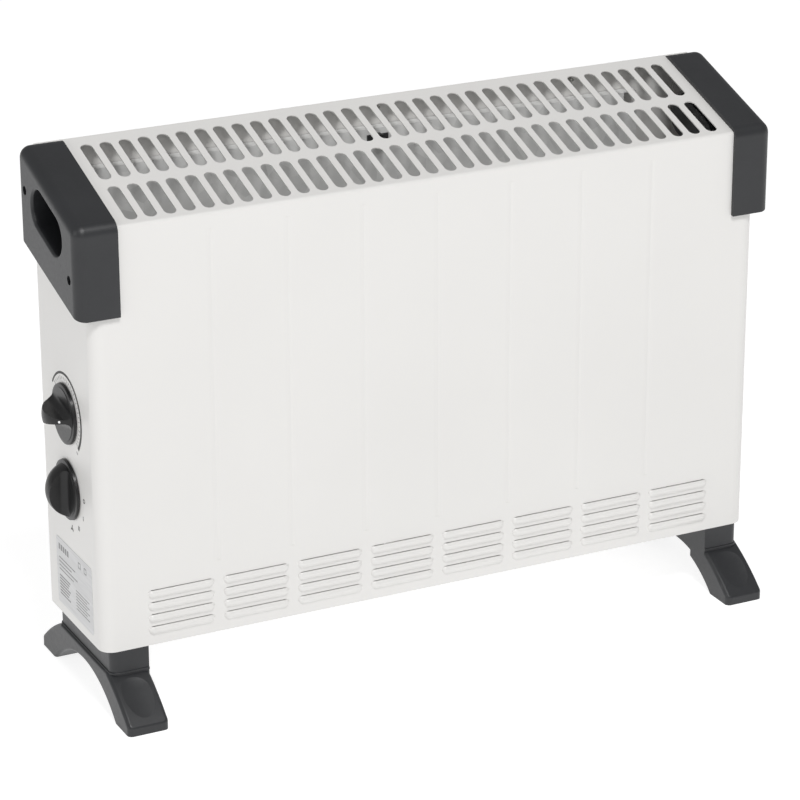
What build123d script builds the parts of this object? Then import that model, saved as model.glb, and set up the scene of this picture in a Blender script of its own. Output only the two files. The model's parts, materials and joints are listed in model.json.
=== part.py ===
from build123d import *
import os
from math import atan, atan2, cos, degrees, radians, sin, sqrt, tan

# Convector heater with a turbo fan, standing on two plastic feet.
# Millimetres. X runs along the heater, the front faces -Y, +Z is up, the floor is z = 0.

# ---------------------------------------------------------------- driving dimensions
BODY_L = 560.0          # casing, end to end
BODY_D = 108.6          # casing, front to back
BODY_Z = 53.2           # underside of the casing above the floor
FRONT_TOP = 387.0       # top edge at the front
REAR_TOP = 422.4        # top edge at the back
SHEET = 0.9             # steel sheet of casing, back and base
CORNER_R = 11.0         # bend between front and sides
EDGE_R = 2.5            # bend between front and top

SLOT_COUNT = 33         # outlet slots in each of the two rows
SLOT_PITCH = 15.15
SLOT_W = 9.6
SLOT_ROWS = ((-49.0, -8.5), (0.2, 44.3))   # front and back end of each row, in Y

LOUVRE_GROUPS = 8
LOUVRE_PITCH_X = 61.7
LOUVRE_L = 54.0
LOUVRE_TOPS = (97.6, 87.7, 77.8, 67.9)     # height of each row's opening
LOUVRE_TALL = 8.2       # height of each pressed bulge
LOUVRE_PROUD = 2.2      # how far it stands out
LOUVRE_LIP = 0.9        # how far its upper edge stands out
LOUVRE_GAP = 0.5        # opening over that edge
LOUVRE_TURN = 2.3       # how far behind the face its rounded ends are centred

HANDLE_OUT = 291.0      # outer face of each handle, from the middle
HANDLE_IN = 257.5       # inner edge of its skirt
HANDLE_SKIN = 3.0       # skirt on top of the casing
HANDLE_R = 8.5
HANDLE_LOW = ((-57.3, 319.0), (57.3, 352.0))  # lower edge, front and back, as (y, z)
GRIP_L = 62.0
GRIP_W = 30.0
GRIP_AT = (0.0, 378.5)  # middle of the grip recess, (y, z)
GRIP_FLOOR = 251.5      # outside of the recess floor, from the middle
HANDLE_SCREWS = ((-43.0, 348.0), (43.0, 391.0))

FOOT_OUT = 276.3        # outer side of each foot, from the middle
FOOT_IN = 243.5
FOOT_REACH = 91.5       # tip of the sole, from the middle
SOLE_IN = 62.5          # where the arch meets the floor
ARCH_H = 25.4
TOE_H = 7.0
FOOT_SHOULDER = 35.2    # where the arms meet the saddle
SHOULDER_Y = 49.0
SADDLE_IN = 2.4         # how far the saddle stands in from the foot's outer side
FOOT_SCREW_Y = 24.0

KNOB_Y = 5.0
THERMOSTAT_Z = 226.6
SELECTOR_Z = 165.5
KNOB_R = 23.6
KNOB_OUT = 298.0        # furthest point of the knobs, from the middle
DOME_R = 21.75          # curve of the knob's grip, seen from the side
GRIP_HALF = 4.6         # half thickness of the grip at the knob's axis
GRIP_BEND = 5.5         # radius between grip and disc
GRIP_TAPER = 10.0       # degrees that each side of the grip turns in towards the pointer
THERMOSTAT_POINTER = 88.0   # degrees clockwise from straight up, seen from outside
SELECTOR_POINTER = 174.0
SHAFT_R = 3.0
SHAFT_PLAY = 0.05

SHIELD_HALF = 227.0     # ends of the element bay, from the middle
REAR_SHIELD_END = 256.0 # left end of the rear shield, behind the controls
SHIELD_Y = 43.6
SHIELD_TOP = 399.6
SHIELD_T = 0.6
BRACKET_TOP = 346.0     # end plates of the element bay
ELEMENT_ROWS = (190.0, 222.0, 254.0)
ELEMENT_Y = 18.0
ELEMENT_HALF = 205.0
SUPPORT_X = (-180.0, -90.0, 0.0, 90.0, 180.0)
COIL_R = 4.0

FAN_X = 0.0
FAN_R = 40.0
INLET_ROWS = (-36.5, -17.0, 2.5, 22.5, 42.0)    # rows of slots in the base plate, in Y
GLAND_AT = (-250.0, 92.0)   # cable inlet in the back, (x, z)
CABLE_R = 3.6

# ---------------------------------------------------------------- derived values
HALF_L = BODY_L / 2
HALF_D = BODY_D / 2
SLOPE = atan((REAR_TOP - FRONT_TOP) / BODY_D)
INSIDE = HALF_L - SHEET
BACK_OUT = HALF_D + SHEET                   # outer face of the back panel
FLOOR_IN = BODY_Z + SHEET                   # upper face of the base plate
PANEL_HALF = HALF_L - 2                     # half length of the back panel
PANEL_TOP = REAR_TOP - 1.5
MOTOR_LOW = FLOOR_IN + 30                   # top of the fan shroud
MOTOR_TOP = MOTOR_LOW + 27
STATOR_Z = (MOTOR_LOW + 8, MOTOR_LOW + 20)
MOTOR_POSTS = (-19, 19)                     # posts beside the motor, in X
CENTRE_X = (KNOB_OUT - HANDLE_OUT) / 2      # puts the origin under the middle of the box


def top_at(y):
    """Height of the casing's sloping top at depth y."""
    return (FRONT_TOP + REAR_TOP) / 2 + y * tan(SLOPE)


# ---------------------------------------------------------------- helpers
def block(xs, ys, zs):
    size = [high - low for low, high in (xs, ys, zs)]
    middle = [(low + high) / 2 for low, high in (xs, ys, zs)]
    return Pos(*middle) * Box(*size)


def rod(axis, at, radius, span):
    """Cylinder along X, Y or Z; 'at' gives its other two coordinates in order."""
    middle = sum(span) / 2
    turned = {
        "x": Pos(middle, at[0], at[1]) * Rot(0, 90, 0),
        "y": Pos(at[0], middle, at[1]) * Rot(90, 0, 0),
        "z": Pos(at[0], at[1], middle),
    }[axis]
    return turned * Cylinder(radius, span[1] - span[0])


def tube(axis, at, outer, inner, span):
    return rod(axis, at, outer, span) - rod(axis, at, inner, span)


def side_plane(x):
    """Plane across the heater at x, with local axes along +Y and +Z."""
    return Plane(origin=(x, 0, 0), x_dir=(0, 1, 0), z_dir=(1, 0, 0))


def side_prism(outline, xs):
    """Outline drawn in (y, z), extruded along X from xs[0] to xs[1]."""
    return extrude(side_plane(xs[0]) * outline, xs[1] - xs[0])


def polygon(points):
    return make_face(Polyline(*points, close=True))


def obround_prism(length, width, xs):
    """Prism along X with the grip's slanted obround section."""
    outline = Pos(*GRIP_AT) * SlotOverall(length, width, rotation=degrees(SLOPE))
    return side_prism(outline, xs)


def screw(axis, at, seat, head, shank, length, head_h):
    """Pan head screw: 'seat' is where the head rests, and length's sign is the shank's way."""
    head_end = seat - head_h if length > 0 else seat + head_h
    shank_end = seat + length
    body = rod(axis, at, shank, sorted((seat, shank_end)))
    cap = rod(axis, at, head, sorted((seat, head_end)))
    socket = rod(axis, at, head * 0.35, sorted((head_end, (seat + head_end) / 2)))
    return body + cap - socket


# ---------------------------------------------------------------- casing
def casing_form(gap, low):
    """Solid inside the casing's outer faces moved out by 'gap', standing on z = low."""
    lift = gap / cos(SLOPE)
    front = -HALF_D - gap
    back = HALF_D + gap
    upper = [(y, top_at(y) + lift) for y in (back, front)]
    form = side_prism(polygon([(front, low), (back, low), *upper]), (-HALF_L - gap, HALF_L + gap))
    uprights = form.edges().filter_by(Axis.Z).sort_by(Axis.Y)[:2]
    form = fillet(uprights, CORNER_R + gap)
    lid = form.faces().sort_by(lambda face: face.center().Z)[-1]
    rim = [edge for edge in lid.edges() if edge.center().Y < back - 1]
    return fillet(rim, EDGE_R + gap)


def outlet_slots():
    """Cutters for both rows of slots, square to the sloping top."""
    cutters = []
    for start, end in SLOT_ROWS:
        middle = (start + end) / 2
        length = (end - start) / cos(SLOPE)
        for index in range(SLOT_COUNT):
            x = (index - (SLOT_COUNT - 1) / 2) * SLOT_PITCH
            place = Pos(x, middle, top_at(middle)) * Rot(degrees(SLOPE), 0, 0)
            cutters.append(place * extrude(SlotOverall(length, SLOT_W, rotation=90), 4, both=True))
    return cutters


def louvre_form(inset, back):
    """Pressed bulge with its upper edge at z = 0 and x = 0 in its middle.

    'inset' moves its skin inwards, and 'back' is how far behind the face it ends.
    """
    skin = -HALF_D + inset
    bulge = Spline(
        [(skin - LOUVRE_LIP, 0), (skin - LOUVRE_PROUD, -2.2), (skin - 1.1, -5.4), (skin, -LOUVRE_TALL)],
        tangents=[(-0.9, -1), (0, -1)],
    )
    rear = -HALF_D + back
    section = make_face([
        bulge,
        Line((skin, -LOUVRE_TALL), (rear, -LOUVRE_TALL)),
        Line((rear, -LOUVRE_TALL), (rear, 0)),
        Line((rear, 0), (skin - LOUVRE_LIP, 0)),
    ])
    half = LOUVRE_L / 2 - sqrt((LOUVRE_TURN + LOUVRE_PROUD) ** 2 - LOUVRE_TURN**2)
    form = side_prism(section, (-half, half))
    for end in (-half, half):
        form += revolve(side_plane(end) * section, Axis((end, -HALF_D + LOUVRE_TURN, 0), (0, 0, 1)))
    return form & block((-LOUVRE_L, LOUVRE_L), (-HALF_D - 10, rear), (-20, 5))


def louvre_slit(bulge):
    """Narrow opening that runs over a bulge and round its two upper corners."""
    tall = 9.0
    outline = Pos(0, LOUVRE_GAP - tall / 2) * SlotOverall(LOUVRE_L + 1.6, tall)
    slit = extrude(Plane(origin=(0, -HALF_D - 1, 0), x_dir=(1, 0, 0), z_dir=(0, -1, 0)) * outline, -4)
    corners = block((-LOUVRE_L, LOUVRE_L), (-HALF_D - 5, -HALF_D + 5), (-1.6, 5))
    return (slit & corners) - bulge


def louvre_places():
    for group in range(LOUVRE_GROUPS):
        x = (group - (LOUVRE_GROUPS - 1) / 2) * LOUVRE_PITCH_X
        for top in LOUVRE_TOPS:
            yield x, top


def front_creases():
    """Shallow vertical grooves between the louvre groups."""
    depth = 0.35
    half = 2.6
    low = 112
    face = -HALF_D
    section = polygon([(-half, face - 1), (-half, face), (0, face + depth), (half, face), (half, face - 1)])
    groove = extrude(section, FRONT_TOP - 12 - low)
    places = [(gap - (LOUVRE_GROUPS - 2) / 2) * LOUVRE_PITCH_X for gap in range(LOUVRE_GROUPS - 1)]
    return [Pos(x, 0, low) * groove for x in places]


def control_holes():
    """Holes in the left side for the two shafts and their fixing screws."""
    holes = []
    for z in (THERMOSTAT_Z, SELECTOR_Z):
        holes.append(rod("x", (KNOB_Y, z), 4.7, (-HALF_L - 1, -INSIDE + 1)))
        for side in (-14, 14):
            holes.append(rod("x", (KNOB_Y + side, z), 1.6, (-HALF_L - 1, -INSIDE + 1)))
    return holes


def back_screw_places():
    """Where the back panel is screwed down, as (x, z)."""
    sides = [(x, z) for x in (-273, 273) for z in (82, 200, 318)]
    ends = [(x, z) for x in (-170, 0, 170) for z in (BODY_Z + 7, REAR_TOP - 8)]
    return sides + ends


def make_front_casing():
    casing = casing_form(0, BODY_Z) - casing_form(-SHEET, BODY_Z - 20)
    window = block((-266, 266), (HALF_D - 5, HALF_D + 5), (BODY_Z - 5, REAR_TOP - 15))
    cuts = [window, *outlet_slots(), *control_holes(), *front_creases()]
    for side in (-1, 1):
        wall = sorted((side * (HALF_L + 1), side * (INSIDE - 1)))
        cuts.append(obround_prism(GRIP_L + 5, GRIP_W + 5, wall))
        cuts += [rod("x", at, 1.9, wall) for at in HANDLE_SCREWS]
    cuts += [rod("y", at, 1.7, (HALF_D - 5, HALF_D + 5)) for at in back_screw_places()]
    casing -= cuts
    outer = louvre_form(0, SHEET)
    inner = louvre_form(SHEET, SHEET + 1)
    opening = louvre_slit(outer) + inner
    skin = outer - inner
    casing -= [Pos(x, 0, top) * opening for x, top in louvre_places()]
    return casing + [Pos(x, 0, top) * skin for x, top in louvre_places()]


def make_back_panel():
    """Flat sheet over the casing's rear flanges, with its own inlet slots and two stiffening beads."""
    panel = block((-PANEL_HALF, PANEL_HALF), (HALF_D, BACK_OUT), (BODY_Z, PANEL_TOP))
    panel = fillet(panel.edges().filter_by(Axis.Y), 4)
    cuts = [rod("y", at, 1.7, (HALF_D - 1, BACK_OUT + 1)) for at in back_screw_places()]
    cuts.append(rod("y", GLAND_AT, 6.7, (HALF_D - 1, BACK_OUT + 1)))
    for z in (96, 126):
        for index in range(26):
            x = (index - 12.5) * 16.5
            if abs(x - GLAND_AT[0]) > 30:
                place = Pos(x, HALF_D, z) * Rot(90, 0, 0)
                cuts.append(place * extrude(SlotOverall(22, 6, rotation=90), 4, both=True))
    panel -= cuts
    for z in (185, 330):
        bead = rod("x", (HALF_D - 4.6, z), 6, (-210, 210))
        inner = rod("x", (HALF_D - 4.6, z), 6 - SHEET, (-210, 210))
        keep = block((-230, 230), (HALF_D, HALF_D + 5), (z - 10, z + 10))
        for end in (-210, 210):
            bead += Pos(end, HALF_D - 4.6, z) * Sphere(6)
            inner += Pos(end, HALF_D - 4.6, z) * Sphere(6 - SHEET)
        panel = panel + (bead & keep) - (inner & keep)
    return panel


def make_base_plate():
    """Tray that closes the underside, with inlet slots and the fan's opening."""
    edge = INSIDE - 0.15
    front = -HALF_D + SHEET + 0.15
    back = HALF_D
    height = 12
    solid = block((-edge, edge), (front, HALF_D - SHEET), (BODY_Z, BODY_Z + height))
    uprights = solid.edges().filter_by(Axis.Z).sort_by(Axis.Y)
    solid = fillet(uprights[:2], CORNER_R - SHEET)
    hollow = block((-edge + SHEET, edge - SHEET), (front + SHEET, HALF_D), (FLOOR_IN, BODY_Z + 50))
    hollow = fillet(hollow.edges().filter_by(Axis.Z).sort_by(Axis.Y)[:2], CORNER_R - 2 * SHEET)
    tray = solid - hollow
    tray += block((-265.5, 265.5), (HALF_D - SHEET, back), (BODY_Z, BODY_Z + height))
    cuts = [rod("z", (FAN_X, 0), FAN_R + 1, (BODY_Z - 1, FLOOR_IN + 1))]
    for y in INLET_ROWS:
        for index in range(9):
            x = (index - 4) * 52
            if abs(x - FAN_X) > 70:
                cuts.append(Pos(x, y, BODY_Z) * extrude(SlotOverall(44, 6), 3, both=True))
    for x in (-260, 260):
        cuts += [rod("z", (x, y), 2.0, (BODY_Z - 1, FLOOR_IN + 1)) for y in (-FOOT_SCREW_Y, FOOT_SCREW_Y)]
    cuts += [rod("z", at, 1.7, (BODY_Z - 1, FLOOR_IN + 1)) for at in fan_screw_places()]
    cuts += [rod("y", (x, z), 1.7, (HALF_D - 3, HALF_D + 1)) for x, z in back_screw_places() if z < 70]
    return tray - cuts


# ---------------------------------------------------------------- handles and feet
def handle_outline(inset):
    """Side outline of an end cap, shrunk by 'inset' all round."""
    (front_y, front_z), (back_y, back_z) = HANDLE_LOW
    front = front_y + inset
    back = back_y - inset
    lift = (HANDLE_SKIN - inset) / cos(SLOPE)
    rise = (back_z - front_z) / (back_y - front_y)
    low = [(y, front_z + (y - front_y) * rise + inset) for y in (front, back)]
    outline = polygon([low[0], low[1], (back, top_at(back) + lift), (front, top_at(front) + lift)])
    corners = [corner for corner in outline.vertices() if corner.Y > max(back_z, front_z) + 5]
    return fillet(corners, HANDLE_R + 0.8 - min(inset, 3))


def make_left_handle():
    """Hollow end cap with a grip recess that reaches in through the casing's side."""
    cap = side_prism(handle_outline(0), (-HANDLE_OUT, -HANDLE_IN))
    outer = cap.faces().sort_by(Axis.X)[0]
    rim = [edge for edge in outer.edges() if edge.center().Z > 345]
    cap = fillet(rim, HANDLE_R)
    cap -= side_prism(handle_outline(4.2), (-HANDLE_OUT + 3.2, -HALF_L - 0.2))
    cap -= casing_form(0.2, BODY_Z)
    cap -= block((-PANEL_HALF - 0.2, -HANDLE_IN + 1), (HALF_D - 1, BACK_OUT + 0.2), (300, PANEL_TOP + 0.2))
    cap += obround_prism(GRIP_L + 4, GRIP_W + 4, (-HANDLE_OUT, -GRIP_FLOOR))
    cap += [rod("x", at, 5.4, (-HANDLE_OUT + 1, -HALF_L - 0.2)) for at in HANDLE_SCREWS]
    cap -= obround_prism(GRIP_L, GRIP_W, (-HANDLE_OUT - 1, -GRIP_FLOOR - 2.2))
    face = [edge for edge in cap.edges() if abs(edge.center().X + HANDLE_OUT) < 0.01]
    lip = [edge for edge in face if abs(edge.center().Y) < 31 and 355 < edge.center().Z < 402]
    cap = fillet(lip, 2.2)
    for at in HANDLE_SCREWS:
        cap -= rod("x", at, 3.5, (-HANDLE_OUT - 1, -HALF_L - 3.5))
        cap -= rod("x", at, 1.9, (-HANDLE_OUT, -HALF_L + 1))
    return cap


def handle_screw_set():
    screws = []
    for side in (-1, 1):
        seat = side * (HALF_L + 3.5)
        screws += [screw("x", at, seat, 3.2, 1.75, -side * 13, 2.2) for at in HANDLE_SCREWS]
    return screws


def make_left_foot():
    """Arched plastic foot: two soles, a rounded arch and a hollow saddle under the casing."""
    lines = [
        ThreePointArc((-SOLE_IN, 0), (0, ARCH_H), (SOLE_IN, 0)),
        Line((SOLE_IN, 0), (FOOT_REACH, 0)),
        Line((FOOT_REACH, 0), (FOOT_REACH, TOE_H)),
        instep_line(0),
        Line((SHOULDER_Y, FOOT_SHOULDER), (-SHOULDER_Y, FOOT_SHOULDER)),
        instep_line(0).mirror(Plane.YZ),
        Line((-FOOT_REACH, TOE_H), (-FOOT_REACH, 0)),
        Line((-FOOT_REACH, 0), (-SOLE_IN, 0)),
    ]
    foot = side_prism(make_face(lines), (-FOOT_OUT, -FOOT_IN))
    width = FOOT_OUT - FOOT_IN
    plan = Pos(-(FOOT_OUT + FOOT_IN) / 2, 0) * RectangleRounded(width, 2 * FOOT_REACH, 4)
    foot &= extrude(plan, 60)
    toes = [edge for edge in foot.edges().filter_by(Axis.X) if abs(edge.center().Z - TOE_H) < 0.1]
    foot = fillet(toes, 3)
    sides = [face for face in foot.faces() if abs(abs(face.normal_at().X) - 1) < 1e-3]
    rims = [edge for face in sides for edge in face.edges() if edge.center().Z > 1 and edge.length > 10]
    foot = fillet(rims, 2.2)
    foot -= [instep_scoop(side) for side in (-1, 1)]
    wall = (-FOOT_OUT + SADDLE_IN, -FOOT_IN)
    foot += rounded_saddle(wall, HALF_D - 0.3, 6, (FOOT_SHOULDER - 8, BODY_Z))
    lip_span = (FOOT_SHOULDER - 1.4, FOOT_SHOULDER + 0.6)
    lip = rounded_saddle((wall[0] - 0.9, wall[1]), HALF_D + 0.6, 7, lip_span)
    brim = [edge for edge in lip.edges() if abs(edge.center().Z - FOOT_SHOULDER + 0.4) > 0.5]
    foot += fillet([edge for edge in brim if edge.center().X < wall[1] - 1], 0.6)
    foot -= block((-FOOT_IN - 5, -FOOT_IN + 1), (-32, 32), (0, 31))
    cells = [(-51.5, -31), (-17, 17), (31, 51.5)]
    foot -= [block((wall[0] + 2.5, wall[1] - 7.5), cell, (FOOT_SHOULDER - 4, BODY_Z + 1)) for cell in cells]
    for y in (-FOOT_SCREW_Y, FOOT_SCREW_Y):
        foot -= rod("z", (-260, y), 5.0, (0, 43))
        foot -= rod("z", (-260, y), 2.3, (0, BODY_Z + 1))
    return foot


def instep_line(sink):
    """Upper outline of the rear arm in (y, z), a slightly crowned slope, lowered by 'sink'."""
    middle = ((FOOT_REACH + SHOULDER_Y) / 2 + 1, (TOE_H + FOOT_SHOULDER) / 2 + 1.6 - sink)
    return ThreePointArc((FOOT_REACH, TOE_H - sink), middle, (SHOULDER_Y, FOOT_SHOULDER - sink))


def rounded_saddle(xs, half, radius, zs):
    """Block over the arch with its two outer uprights rounded."""
    saddle = block(xs, (-half, half), zs)
    return fillet(saddle.edges().filter_by(Axis.Z).sort_by(Axis.X)[:2], radius)


def instep_scoop(side):
    """Long shallow dish in the upper face of one arm, fading out towards the toe."""
    radius = 55.0
    slope = atan2(FOOT_SHOULDER - TOE_H, FOOT_REACH - SHOULDER_Y)
    middle = -(FOOT_OUT + FOOT_IN) / 2
    high, low = [
        Vector(middle, side * (reach + radius * sin(slope)), height + radius * cos(slope))
        for reach, height in ((62.7, 26.8), (86.2, 11.5))
    ]
    run = low - high
    plane = Plane(origin=high, z_dir=run)
    return plane * Pos(0, 0, run.length / 2) * Cylinder(radius, run.length) + Pos(*high) * Sphere(radius)


def foot_screw_set():
    places = [(x, y) for x in (-260, 260) for y in (-FOOT_SCREW_Y, FOOT_SCREW_Y)]
    return [screw("z", at, 43, 4.0, 1.9, 16, 2.6) for at in places]


# ---------------------------------------------------------------- controls
def pointer_plane(z, angle):
    """Plane on the left side with +Z outward and +X along a knob's pointer."""
    turn = radians(angle)
    return Plane(origin=(-HALF_L, KNOB_Y, z), x_dir=(0, -sin(turn), cos(turn)), z_dir=(-1, 0, 0))


def knob_form():
    """Knob with its axis along +Z and its pointer along +X, from 0.8 above the panel.

    A thin disc carries a grip, which is a domed ridge that narrows towards the pointer.
    """
    low = 0.8
    rim = 2.7
    floor = 3.4
    crown = 3.9
    profile = make_face([
        Line((0, low), (KNOB_R, low)),
        Line((KNOB_R, low), (KNOB_R - 0.4, rim)),
        ThreePointArc((KNOB_R - 0.4, rim), (KNOB_R * 0.75, floor), (0, crown)),
        Line((0, crown), (0, low)),
    ])
    disc = revolve(Plane.XZ * profile, Axis.Z)
    reach = KNOB_OUT - HALF_L
    dome = Pos(0, 0, reach - DOME_R) * Sphere(DOME_R)
    dome &= block((-KNOB_R, KNOB_R), (-KNOB_R, KNOB_R), (low + 1, reach + 1))
    knob = disc + dome
    for side in (-1, 1):
        knob -= Rot(0, 0, -side * GRIP_TAPER) * grip_scoop(side, floor)
    knob -= rod("z", (0, 0), KNOB_R - 2.6, (0, 2.0)) - rod("z", (0, 0), 5.5, (0, 2.0))
    knob -= rod("z", (0, 0), SHAFT_R + 0.02, (0, 11))
    return knob


def grip_scoop(side, floor):
    """Cutter beside the knob's grip: an upright wall that rounds into a flat floor."""
    wall = side * GRIP_HALF
    bend = side * (GRIP_HALF + GRIP_BEND)
    outside = side * (KNOB_R + 6)
    high = floor + 30
    turn = GRIP_BEND * (1 - sqrt(0.5))
    section = make_face([
        Line((wall, high), (wall, floor + GRIP_BEND)),
        ThreePointArc((wall, floor + GRIP_BEND), (wall + side * turn, floor + turn), (bend, floor)),
        Line((bend, floor), (outside, floor)),
        Line((outside, floor), (outside, high)),
        Line((outside, high), (wall, high)),
    ])
    return side_prism(section, (-KNOB_R - 8, KNOB_R + 8))


def shaft_form(depth):
    """Control shaft along +Z, from 'depth' inside the panel to just short of the knob's bore end."""
    return rod("z", (0, 0), SHAFT_R, (-depth, 10.6))


def make_control_body(z, half_y, half_z, inner_x):
    """Switch body behind the left side, with the bush that guides its shaft."""
    body = block((-INSIDE, inner_x), (KNOB_Y - half_y, KNOB_Y + half_y), (z - half_z, z + half_z))
    body = fillet(body.edges().filter_by(Axis.X), 2.5)
    body += rod("x", (KNOB_Y, z), 4.5, (-HALF_L - 0.5, -INSIDE + 1))
    body -= rod("x", (KNOB_Y, z), SHAFT_R + SHAFT_PLAY, (-HALF_L - 1, -HALF_L + 16.5))
    for side in (-14, 14):
        body -= rod("x", (KNOB_Y + side, z), 1.55, (-HALF_L - 1, -HALF_L + 9))
    return body


def control_screw_set():
    places = [(KNOB_Y + side, z) for z in (THERMOSTAT_Z, SELECTOR_Z) for side in (-14, 14)]
    return [screw("x", at, -HALF_L, 2.8, 1.5, 8, 1.3) for at in places]


def switch_tab_set(inner_x):
    """Push-on blades on the back of the thermostat and of the selector."""
    tabs = []
    for z in (THERMOSTAT_Z - 8, THERMOSTAT_Z + 8):
        tabs.append(block((-258, -249), (KNOB_Y - 3.1, KNOB_Y + 3.1), (z - 0.4, z + 0.4)))
    for z in (SELECTOR_Z - 9, SELECTOR_Z, SELECTOR_Z + 9):
        for y in (KNOB_Y - 8, KNOB_Y + 8):
            tabs.append(block((inner_x, inner_x + 9), (y - 3.1, y + 3.1), (z - 0.4, z + 0.4)))
    return tabs


def make_rating_plate():
    plate = block((-HALF_L - 0.2, -HALF_L), (-36, 38), (61, 116))
    return fillet(plate.edges().filter_by(Axis.X), 2)


# ---------------------------------------------------------------- mains inlet
def make_cable_gland():
    """Inlet bush in the back panel; the supply cable passes through its bore."""
    gland = rod("y", GLAND_AT, 8.5, (BACK_OUT, BACK_OUT + 2.2))
    nose = rod("y", GLAND_AT, 6.5, (42, BACK_OUT + 9))
    nose = chamfer(nose.edges().sort_by(Axis.Y)[-1], 1.5)
    return gland + nose - rod("y", GLAND_AT, CABLE_R, (40, 70))


def make_gland_nut():
    place = Pos(GLAND_AT[0], HALF_D - 3.5, GLAND_AT[1]) * Rot(90, 0, 0)
    return place * extrude(RegularPolygon(10, 6), 3.4) - rod("y", GLAND_AT, 6.55, (40, 60))


def make_terminal_block():
    body = block((-262, -238), (8, 38), (FLOOR_IN + 8, FLOOR_IN + 22))
    for index in range(3):
        x = -258 + index * 8
        body -= [rod("z", (x, y), 2.1, (FLOOR_IN + 12, FLOOR_IN + 23)) for y in (14, 32)]
        body -= rod("y", (x, FLOOR_IN + 13.5), 1.9, (0, 45))
    foot = block((-252, -248), (21, 25), (FLOOR_IN, FLOOR_IN + 8))
    return body + foot


def terminal_screw_set():
    places = [(-258 + index * 8, y) for index in range(3) for y in (14, 32)]
    return [rod("z", at, 2.0, (FLOOR_IN + 15.5, FLOOR_IN + 20.5)) for at in places]


# ---------------------------------------------------------------- heat shields and elements
def make_shield(side, xs, top):
    """Galvanised sheet along one wall; its top folds towards that wall."""
    face = side * SHIELD_Y
    fold = side * (HALF_D - SHEET - 0.3)
    across = sorted((face, face + side * SHIELD_T))
    depth = sorted((face, fold))
    sheet = block(xs, across, (125, top))
    sheet += block(xs, depth, (top - SHIELD_T, top))
    for end in (xs[0], xs[1] - 12):
        sheet -= block((end, end + 12), across, (top - 12, top + 1))
    return sheet


def make_left_bracket():
    """End plate that carries both shields, the element rails and the terminals."""
    x = -SHIELD_HALF - 3
    face = (x, x + 1.0)
    plate = block(face, (-SHIELD_Y + 0.1, SHIELD_Y - 0.1), (FLOOR_IN, BRACKET_TOP))
    for side in (-1, 1):
        flange = sorted((side * (SHIELD_Y - 0.1), side * (SHIELD_Y - 1.1)))
        plate += block((x, x + 14), flange, (120, BRACKET_TOP - 4))
    plate += block((x, x + 12), (-30, 30), (FLOOR_IN, FLOOR_IN + 1))
    plate -= [rod("x", at, 5.0, (x - 1, x + 2)) for at in element_places()]
    plate -= bracket_vents(x)
    return plate


def bracket_vents(x):
    """Three lightening windows above the elements."""
    vents = []
    for z in (286, 306, 326):
        outline = Pos(0, z) * SlotOverall(46, 10)
        vents.append(side_prism(outline, (x - 1, x + 2)))
    return vents


def element_places():
    return [(y, z) for z in ELEMENT_ROWS for y in (-ELEMENT_Y, ELEMENT_Y)]


def rail_set():
    """Two channels that run between the end brackets, under and over the elements."""
    rails = []
    half = SHIELD_HALF + 2
    for z, leg in ((160, 8), (284, -8)):
        web = block((-half, half), (-9, 9), (z - 0.5, z + 0.5))
        legs = sorted((z, z + leg))
        for y in (-9, 8):
            web += block((-half, half), (y, y + 1), legs)
        rails.append(web)
    return rails


def support_set():
    """Insulating boards that the element wires thread through, held by the rails."""
    boards = []
    for x in SUPPORT_X:
        board = block((x - 1, x + 1), (-32, 32), (172, 272))
        board = fillet(board.edges().filter_by(Axis.X), 6)
        for z0, z1 in ((160.5, 173), (271, 283.5)):
            board += block((x - 1, x + 1), (-6, 6), (z0, z1))
        board -= [rod("x", at, 5.2, (x - 2, x + 2)) for at in element_places()]
        boards.append(board)
    return boards


def bushing_set():
    """Ceramic eyelets in the boards, each with a collar on both sides."""
    eyelets = []
    for x in SUPPORT_X:
        for at in element_places():
            eyelet = rod("x", at, 5.15, (x - 3, x + 3)) + rod("x", at, 6.6, (x + 1.05, x + 3))
            eyelets.append(eyelet - rod("x", at, COIL_R + 0.3, (x - 4, x + 4)))
    return eyelets


def coil_set(rows):
    """Closed-wound heating coils of the given rows, as tubes of the winding's outer size."""
    span = (-ELEMENT_HALF, ELEMENT_HALF)
    places = [(y, z) for y, z in element_places() if z in rows]
    return [tube("x", at, COIL_R, COIL_R - 0.9, span) for at in places]


def pin_set():
    pins = []
    for side in (-1, 1):
        span = sorted((side * (ELEMENT_HALF - 8), side * (SHIELD_HALF + 12)))
        pins += [rod("x", at, 2.0, span) for at in element_places()]
    return pins


def pin_insulator_set():
    rings = []
    for side in (-1, 1):
        plate = side * (SHIELD_HALF + 2.5)
        for at in element_places():
            ring = rod("x", at, 4.9, (plate - 3, plate + 3))
            ring += rod("x", at, 7.0, sorted((plate + side * 0.6, plate + side * 3)))
            rings.append(ring - rod("x", at, 2.1, (plate - 4, plate + 4)))
    return rings


def make_thermal_cutout():
    """Small disc cut-out screwed to the rear shield near its top."""
    x, z = (-3, 392)
    body = rod("y", (x, z), 4.5, (SHIELD_Y - 7, SHIELD_Y - 1))
    plate = block((x - 9, x + 9), (SHIELD_Y - 1, SHIELD_Y), (z - 3, z + 3))
    blades = [(x + side - 0.4, x + side + 0.4) for side in (-2.2, 2.2)]
    tabs = [block(blade, (SHIELD_Y - 12, SHIELD_Y - 6.5), (z - 2, z + 2)) for blade in blades]
    return body + plate + tabs


def make_thermal_fuse():
    at = (350.0, 8.0)
    fuse = rod("x", (SHIELD_Y - 4, at[0]), 2.2, (-120, -106))
    leads = rod("x", (SHIELD_Y - 4, at[0]), 0.6, (-136, -90))
    clip = block((-116, -110), (SHIELD_Y - 1.8, SHIELD_Y), (at[0] - 3, at[0] + 3))
    return fuse + leads + clip


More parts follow.
